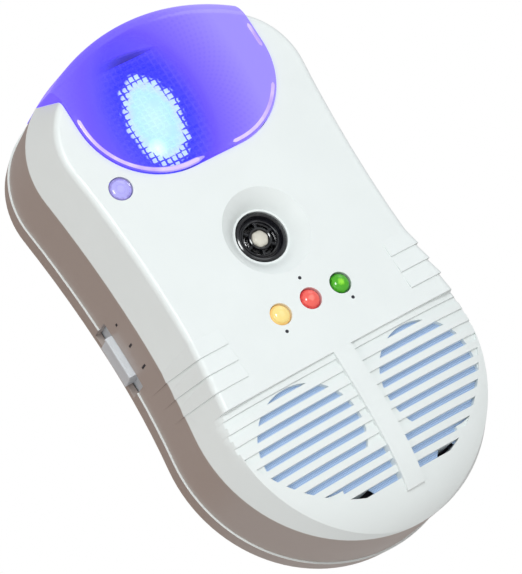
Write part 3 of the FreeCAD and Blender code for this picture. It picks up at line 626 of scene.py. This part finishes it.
def transducer_cone():
    """Bright dished diaphragm with a cream, lightly lobed dome at its centre."""
    centre = ring_centre()
    mesh_data = bmesh.new()
    lathe(mesh_data, centre, [(3.84, 3.4), (3.7, 2.75), (3.2, 2.5), (2.7, 2.85), (2.0, 3.0), (0.0, 3.0)])
    disc = finish_mesh("transducer_diaphragm", mesh_data, metal("cone_metal", (0.78, 0.77, 0.78), 0.22, 1))
    settle(disc, "casing", "cone_metal", "transducer_cone")
    mesh_data = bmesh.new()
    profile = [(1.95, 2.9), (1.95, 1.2), (1.86, 0.95), (1.5, 0.66), (0.95, 0.5), (0.5, 0.44), (0.0, 0.42)]
    lathe(mesh_data, centre, profile, ripple=0.035, waves=6)
    cap = finish_mesh("transducer_dome", mesh_data, moulded("dome_cream", (0.82, 0.78, 0.68), 0.3, 2.0, 0.35))
    settle(cap, "casing", "cone_metal")


# each lamp's colours from its middle to its rim, and how strongly it glows
LAMPS = {
    "yellow": ((0.80, 0.66, 0.27), (0.80, 0.62, 0.22), (0.78, 0.50, 0.16), 0.30),
    "red": ((0.80, 0.20, 0.16), (0.72, 0.10, 0.08), (0.50, 0.03, 0.04), 0.34),
    "green": ((0.22, 0.62, 0.03), (0.05, 0.32, 0.005), (0.004, 0.10, 0.0), 0.40),
}


def indicator_lamps():
    """Three round lamps: a low dome with a stepped collar just inside the cover's hole."""
    for colour, (core, body, rim, glow) in LAMPS.items():
        node = "indicator_led_" + colour
        centre = middle(node)
        centre.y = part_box(node)[0].y + 0.9 * MM
        mesh_data = bmesh.new()
        profile = [(2.45, 5.6), (2.45, 0.75), (2.38, 0.45), (2.22, 0.2), (2.12, 0.12)]
        lathe(mesh_data, centre, profile + arc_profile(2.05, 0.05, 0.9, 14))
        material = lamp_lens(node, centre, 2.4 * MM, core, body, rim, glow)
        piece = finish_mesh("indicator_lamp_" + colour, mesh_data, material)
        settle(piece, "casing", "led_" + colour, node)


def sensor_lens():
    """The light sensor's window: a nearly flat disc with two moulded rings."""
    node = "sensor_window"
    centre = middle(node)
    centre.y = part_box(node)[0].y
    mesh_data = bmesh.new()
    profile = [(2.65, 3.1), (2.65, 0.95), (2.58, 0.7), (2.4, 0.6), (2.2, 0.66), (2.12, 0.74), (1.95, 0.62)]
    profile += [(1.2, 0.52), (1.1, 0.58), (1.0, 0.5), (0.0, 0.42)]
    lathe(mesh_data, centre, profile)
    # painted light: the window, which is no lamp, gets the lamps' glowing material, a faint glow with a
    # lighter middle and a darker rim
    core, body, rim = (0.48, 0.45, 0.93), (0.44, 0.41, 0.88), (0.27, 0.23, 0.60)
    material = lamp_lens("sensor_lilac", centre, 2.6 * MM, core, body, rim, 0.12)
    settle(finish_mesh("sensor_window_lens", mesh_data, material), "casing", "sensor_lilac", node)


def inside_reflector(x, z):
    """True inside the reflector's outline: round lower corners and sloping shoulders."""
    low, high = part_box("nightlight_reflector")
    margin = 0.8 * MM
    corner = 17 * MM
    shoulder_x, shoulder_slope = 12 * MM, 0.62
    half = high.x - margin
    if abs(x) > half or z < low.z + margin:
        return False
    past_corner_x = abs(x) - (half - corner)
    below_corner_z = low.z + margin + corner - z
    if past_corner_x > 0 and below_corner_z > 0:
        return math.hypot(past_corner_x, below_corner_z) < corner
    return z < high.z - margin - max(0.0, abs(x) - shoulder_x) * shoulder_slope


def facet(mesh_data, x, z, front, back):
    """One cell of the reflector: a square block with a low truncated pyramid on its front."""
    crest_share, rise, fall = 0.45, 0.2 * MM, 0.25 * MM
    half = CELL / 2
    square = [(-half, -half), (half, -half), (half, half), (-half, half)]

    def layer(share, y):
        return [mesh_data.verts.new((x + dx * share, y, z + dz * share)) for dx, dz in square]

    base = layer(1.0, front + fall)
    foot = layer(1.0, back)
    crest = layer(crest_share, front - rise)
    mesh_data.faces.new(crest)
    mesh_data.faces.new(reversed(foot))
    for one in range(4):
        two = (one + 1) % 4
        mesh_data.faces.new((base[one], base[two], crest[two], crest[one]))
        mesh_data.faces.new((foot[one], foot[two], base[two], base[one]))


def faceted_reflector(material):
    """A plate of small square cells, which scatter the night light's lamps."""
    low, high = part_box("nightlight_reflector")
    front = low.y + 0.35 * MM
    mesh_data = bmesh.new()
    columns = int(high.x / CELL) + 1
    rows = int((high.z - low.z) / CELL) + 1
    for column in range(-columns, columns + 1):
        for row in range(rows):
            x = column * CELL
            z = low.z + (row + 0.5) * CELL
            if inside_reflector(x, z):
                facet(mesh_data, x, z, front, high.y)
    piece = finish_mesh("nightlight_reflector_faceted", mesh_data, material, 10.0)
    settle(piece, "casing", "reflector_white", "nightlight_reflector")


def lamp_chips(material):
    """Six square lamp chips with bevelled rims, set among the facets."""
    low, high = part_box("nightlight_leds")
    lamp_radius = 2.4 * MM
    chip_size = (2.6 * MM, 0.5 * MM, 2.6 * MM)
    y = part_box("nightlight_reflector")[0].y + 0.25 * MM
    mesh_data = bmesh.new()
    for x in (low.x + lamp_radius, 0.0, high.x - lamp_radius):
        for z in (low.z + lamp_radius, high.z - lamp_radius):
            bar(mesh_data, Vector((x, y, z)), chip_size)
    piece = finish_mesh("nightlight_lamp_chips", mesh_data, material, 20.0)
    settle(piece, "casing", "led_white", "nightlight_leds")


def on_shell(y, z):
    """The point and outward direction of the front cover's left wall at a depth and height."""
    outside = Vector((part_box("front_cover")[0].x, y, z))
    _, point, normal, _ = NODES["front_cover"].closest_point_on_mesh(outside)
    return point, normal


def switch_ticks(material):
    """Three printed ticks of growing length beside the switch, one for each position."""
    pitch, height, thickness = 5.6 * MM, 0.55 * MM, 0.06 * MM
    behind_y = -18.4 * MM
    across = Vector((0.0, 1.0, 0.0))
    mesh_data = bmesh.new()
    for step, length in ((1, 1.1 * MM), (0, 2.0 * MM), (-1, 2.9 * MM)):
        point, normal = on_shell(behind_y - length / 2, SWITCH_Z + pitch * step)
        made = bmesh.ops.create_cube(mesh_data, size=1.0)["verts"]
        turn = Matrix((normal, across, normal.cross(across))).transposed().to_4x4()
        shape = Matrix.Diagonal((thickness, length, height, 1.0))
        bmesh.ops.transform(mesh_data, matrix=Matrix.Translation(point) @ turn @ shape, verts=made)
    settle(finish_mesh("switch_ticks", mesh_data, material), "casing", "base_black")


def lens_bead():
    """The bright bead along the cap's edge: round both lower corners and up the right side."""
    margin, proud, steps = 0.85 * MM, 0.22 * MM, 26
    half = CAP_HALF_WIDTH - margin
    corner = CAP_CORNER - margin
    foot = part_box("nightlight_lens")[0].z + margin
    flat = half - corner

    def on_face(x, z):
        return Vector((x, crown_y(x, proud), z))

    def on_corner(side, start, step):
        angle = start + 0.5 * math.pi * step / steps
        x = side * flat + corner * math.cos(angle)
        return on_face(x, foot + corner + corner * math.sin(angle))

    left = [on_face(-half, z * MM) for z in (43, 42, 41, 40)]
    left += [on_corner(-1, math.pi, step) for step in range(steps)]
    left += [on_face(-flat + share * MM, foot) for share in (1, 2, 3)]
    right = [on_face(flat - share * MM, foot) for share in (3, 2, 1)]
    right += [on_corner(1, 1.5 * math.pi, step) for step in range(steps) if step < 0.72 * steps]
    upper = [on_face(half, z * MM) for z in range(37, 47)]
    mesh_data = bmesh.new()
    for points in (left, right, upper):
        tube(mesh_data, points, 0.36 * MM, 1.9)
    piece = finish_mesh("nightlight_lens_bead", mesh_data, bead_light("bead_lilac"), 60.0)
    settle(piece, "casing", "lens_violet")


def lens_bead():
    """The bright bead round the cap's lower edge, in three stretches."""
    low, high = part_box("nightlight_lens")
    margin = 0.85 * MM
    half = 25.3 * MM - margin
    corner = 19.0 * MM - margin
    foot = low.z + margin
    centre_z = foot + corner
    flat = half - corner

    def on_face(x, z):
        return Vector((x, crown_y(x, 0.22 * MM), z))

    stretches = []
    steps = 26
    left = [on_face(-half, z * MM) for z in (43.0, 42.0, 41.0, 40.0)]
    for step in range(steps):
        angle = math.pi + 0.5 * math.pi * step / steps
        left.append(on_face(-flat + corner * math.cos(angle), centre_z + corner * math.sin(angle)))
    left += [on_face(-flat + share * MM, foot) for share in (1.0, 2.0, 3.0)]
    stretches.append(left)
    right = [on_face(flat - share * MM, foot) for share in (3.0, 2.0, 1.0)]
    for step in range(steps):
        angle = 1.5 * math.pi + 0.5 * math.pi * step / steps
        if step < 0.72 * steps:
            right.append(on_face(flat + corner * math.cos(angle), centre_z + corner * math.sin(angle)))
    stretches.append(right)
    stretches.append([on_face(half, z * MM) for z in range(37, 47)])
    mesh_data = bmesh.new()
    for points in stretches:
        tube(mesh_data, points, 0.36 * MM, 1.9)
    piece = finish_mesh("nightlight_lens_bead", mesh_data, bead_light("bead_lilac"), 60.0)
    settle(piece, "casing", "lens_violet")


def printed_dots(material):
    """Three printed dots: one above the red lamp, one below each of the others."""
    offsets = {"red": (0.4, 5.2), "yellow": (-1.0, -4.0), "green": (0.7, -4.2)}
    mesh_data = bmesh.new()
    for colour, (across, up) in offsets.items():
        lamp = middle("indicator_led_" + colour)
        x = lamp.x + across * MM
        place = Vector((x, crown_y(x), lamp.z + up * MM))
        lathe(mesh_data, place, [(0.42, 0.02), (0.40, -0.02), (0.3, -0.03), (0.0, -0.03)], 24)
    settle(finish_mesh("printed_dots", mesh_data, material), "casing", "base_black")


def add_pieces(glow):
    """Every detailed piece, in place of a CAD node or laid on one."""
    ink = moulded("ink_black", (0.02, 0.02, 0.03), 0.5, 3.0, 0.2)
    transducer_ring()
    transducer_cone()
    indicator_lamps()
    sensor_lens()
    faceted_reflector(glow)
    lamp_chips(glow)
    lens_bead()
    printed_dots(ink)
    switch_ticks(ink)


# ---------------------------------------------------------------- CAD nodes' materials

def slot_materials(glow):
    """One material for every material slot; a replaced node keeps its spare one out of sight."""
    made = {
        "shell_white": shell_plastic("shell_white"),
        "lens_violet": lens_tint_and_glow("lens_violet"),
        "reflector_white": glow,
        "led_white": glow,
        "board_green": board("board_green"),
        "ring_black": moulded("ring_spare", (0.02, 0.02, 0.025), 0.25),
        "cone_metal": metal("cone_spare", (0.75, 0.73, 0.70), 0.3, 1),
        "base_black": moulded("base_black", (0.03, 0.03, 0.035), 0.45),
        "sensor_lilac": moulded("sensor_spare", (0.68, 0.64, 0.95), 0.3),
        "photocell_ceramic": wound("photocell_ceramic", (0.82, 0.62, 0.42), "X", 0.5 * MM),
        "post_metal": metal("post_metal", (0.72, 0.72, 0.74), 0.3, 1),
        # painted light: the screens' pale blue stands in for the night light's blue glow seen through the
        # slots
        "screen_blue": woven("screen_blue", (0.56, 0.70, 0.90), (0.26, 0.38, 0.60)),
        "foam_grey": moulded("foam_grey", (0.16, 0.16, 0.17), 0.85, 0.6, 0.3),
        "speaker_metal": metal("speaker_metal", (0.78, 0.62, 0.33), 0.28, 0),
        "transformer_tape": wound("transformer_tape", (0.85, 0.64, 0.10), "Z", 1.6 * MM),
        "capacitor_sleeve": moulded("capacitor_sleeve", (0.05, 0.07, 0.18), 0.25, 1.0, 0.2, 0.5),
        "film_red": moulded("film_red", (0.62, 0.12, 0.07), 0.22, 1.0, 0.15, 0.6),
        "chip_black": moulded("chip_black", (0.03, 0.03, 0.03), 0.5),
        "coil_copper": wound("coil_copper", (0.74, 0.32, 0.12), "Y", 0.4 * MM),
        "module_blue": moulded("module_blue", (0.06, 0.14, 0.36), 0.4, 1.0, 0.15),
        "needle_steel": metal("needle_steel", (0.76, 0.76, 0.78), 0.2, 1),
        "knob_grey": moulded("knob_grey", (0.74, 0.78, 0.82), 0.4, 1.4, 0.06),
        "switch_black": moulded("switch_black", (0.04, 0.04, 0.045), 0.4),
        "blade_brass": metal("blade_brass", (0.83, 0.72, 0.46), 0.24, 1),
        "insulator_cream": moulded("insulator_cream", (0.84, 0.78, 0.66), 0.5),
        "fuse_ceramic": moulded("fuse_ceramic", (0.86, 0.83, 0.76), 0.35),
        "screw_steel": metal("screw_steel", (0.66, 0.66, 0.69), 0.26, 0),
        "plate_silver": metal("plate_silver", (0.80, 0.81, 0.83), 0.38, 0),
    }
    for colour, (_, body, _, _) in LAMPS.items():
        made["led_" + colour] = moulded("led_spare_" + colour, body, 0.25)
    return made


def dress_nodes(materials):
    """Gives every CAD node the material of its slot."""
    for name, node in NODES.items():
        node.data.materials.clear()
        node.data.materials.append(materials[SLOT_OF[name]])


bpy.context.scene.view_settings.view_transform = "Standard"
add_camera()
add_world()
add_floor()
add_area_light("key", (-0.42, -1.5, 0.40), 0.45, 9.0, (0.97, 1.0, 1.0))
add_area_light("side", (-1.3, -0.95, 0.1), 0.8, 3.2, (0.88, 0.97, 1.0))
add_area_light("rim", (0.9, -0.7, 0.8), 0.6, 1.2, (0.95, 0.98, 1.0))
night_light = night_glow("night_glow")
add_pieces(night_light)
dress_nodes(slot_materials(night_light))
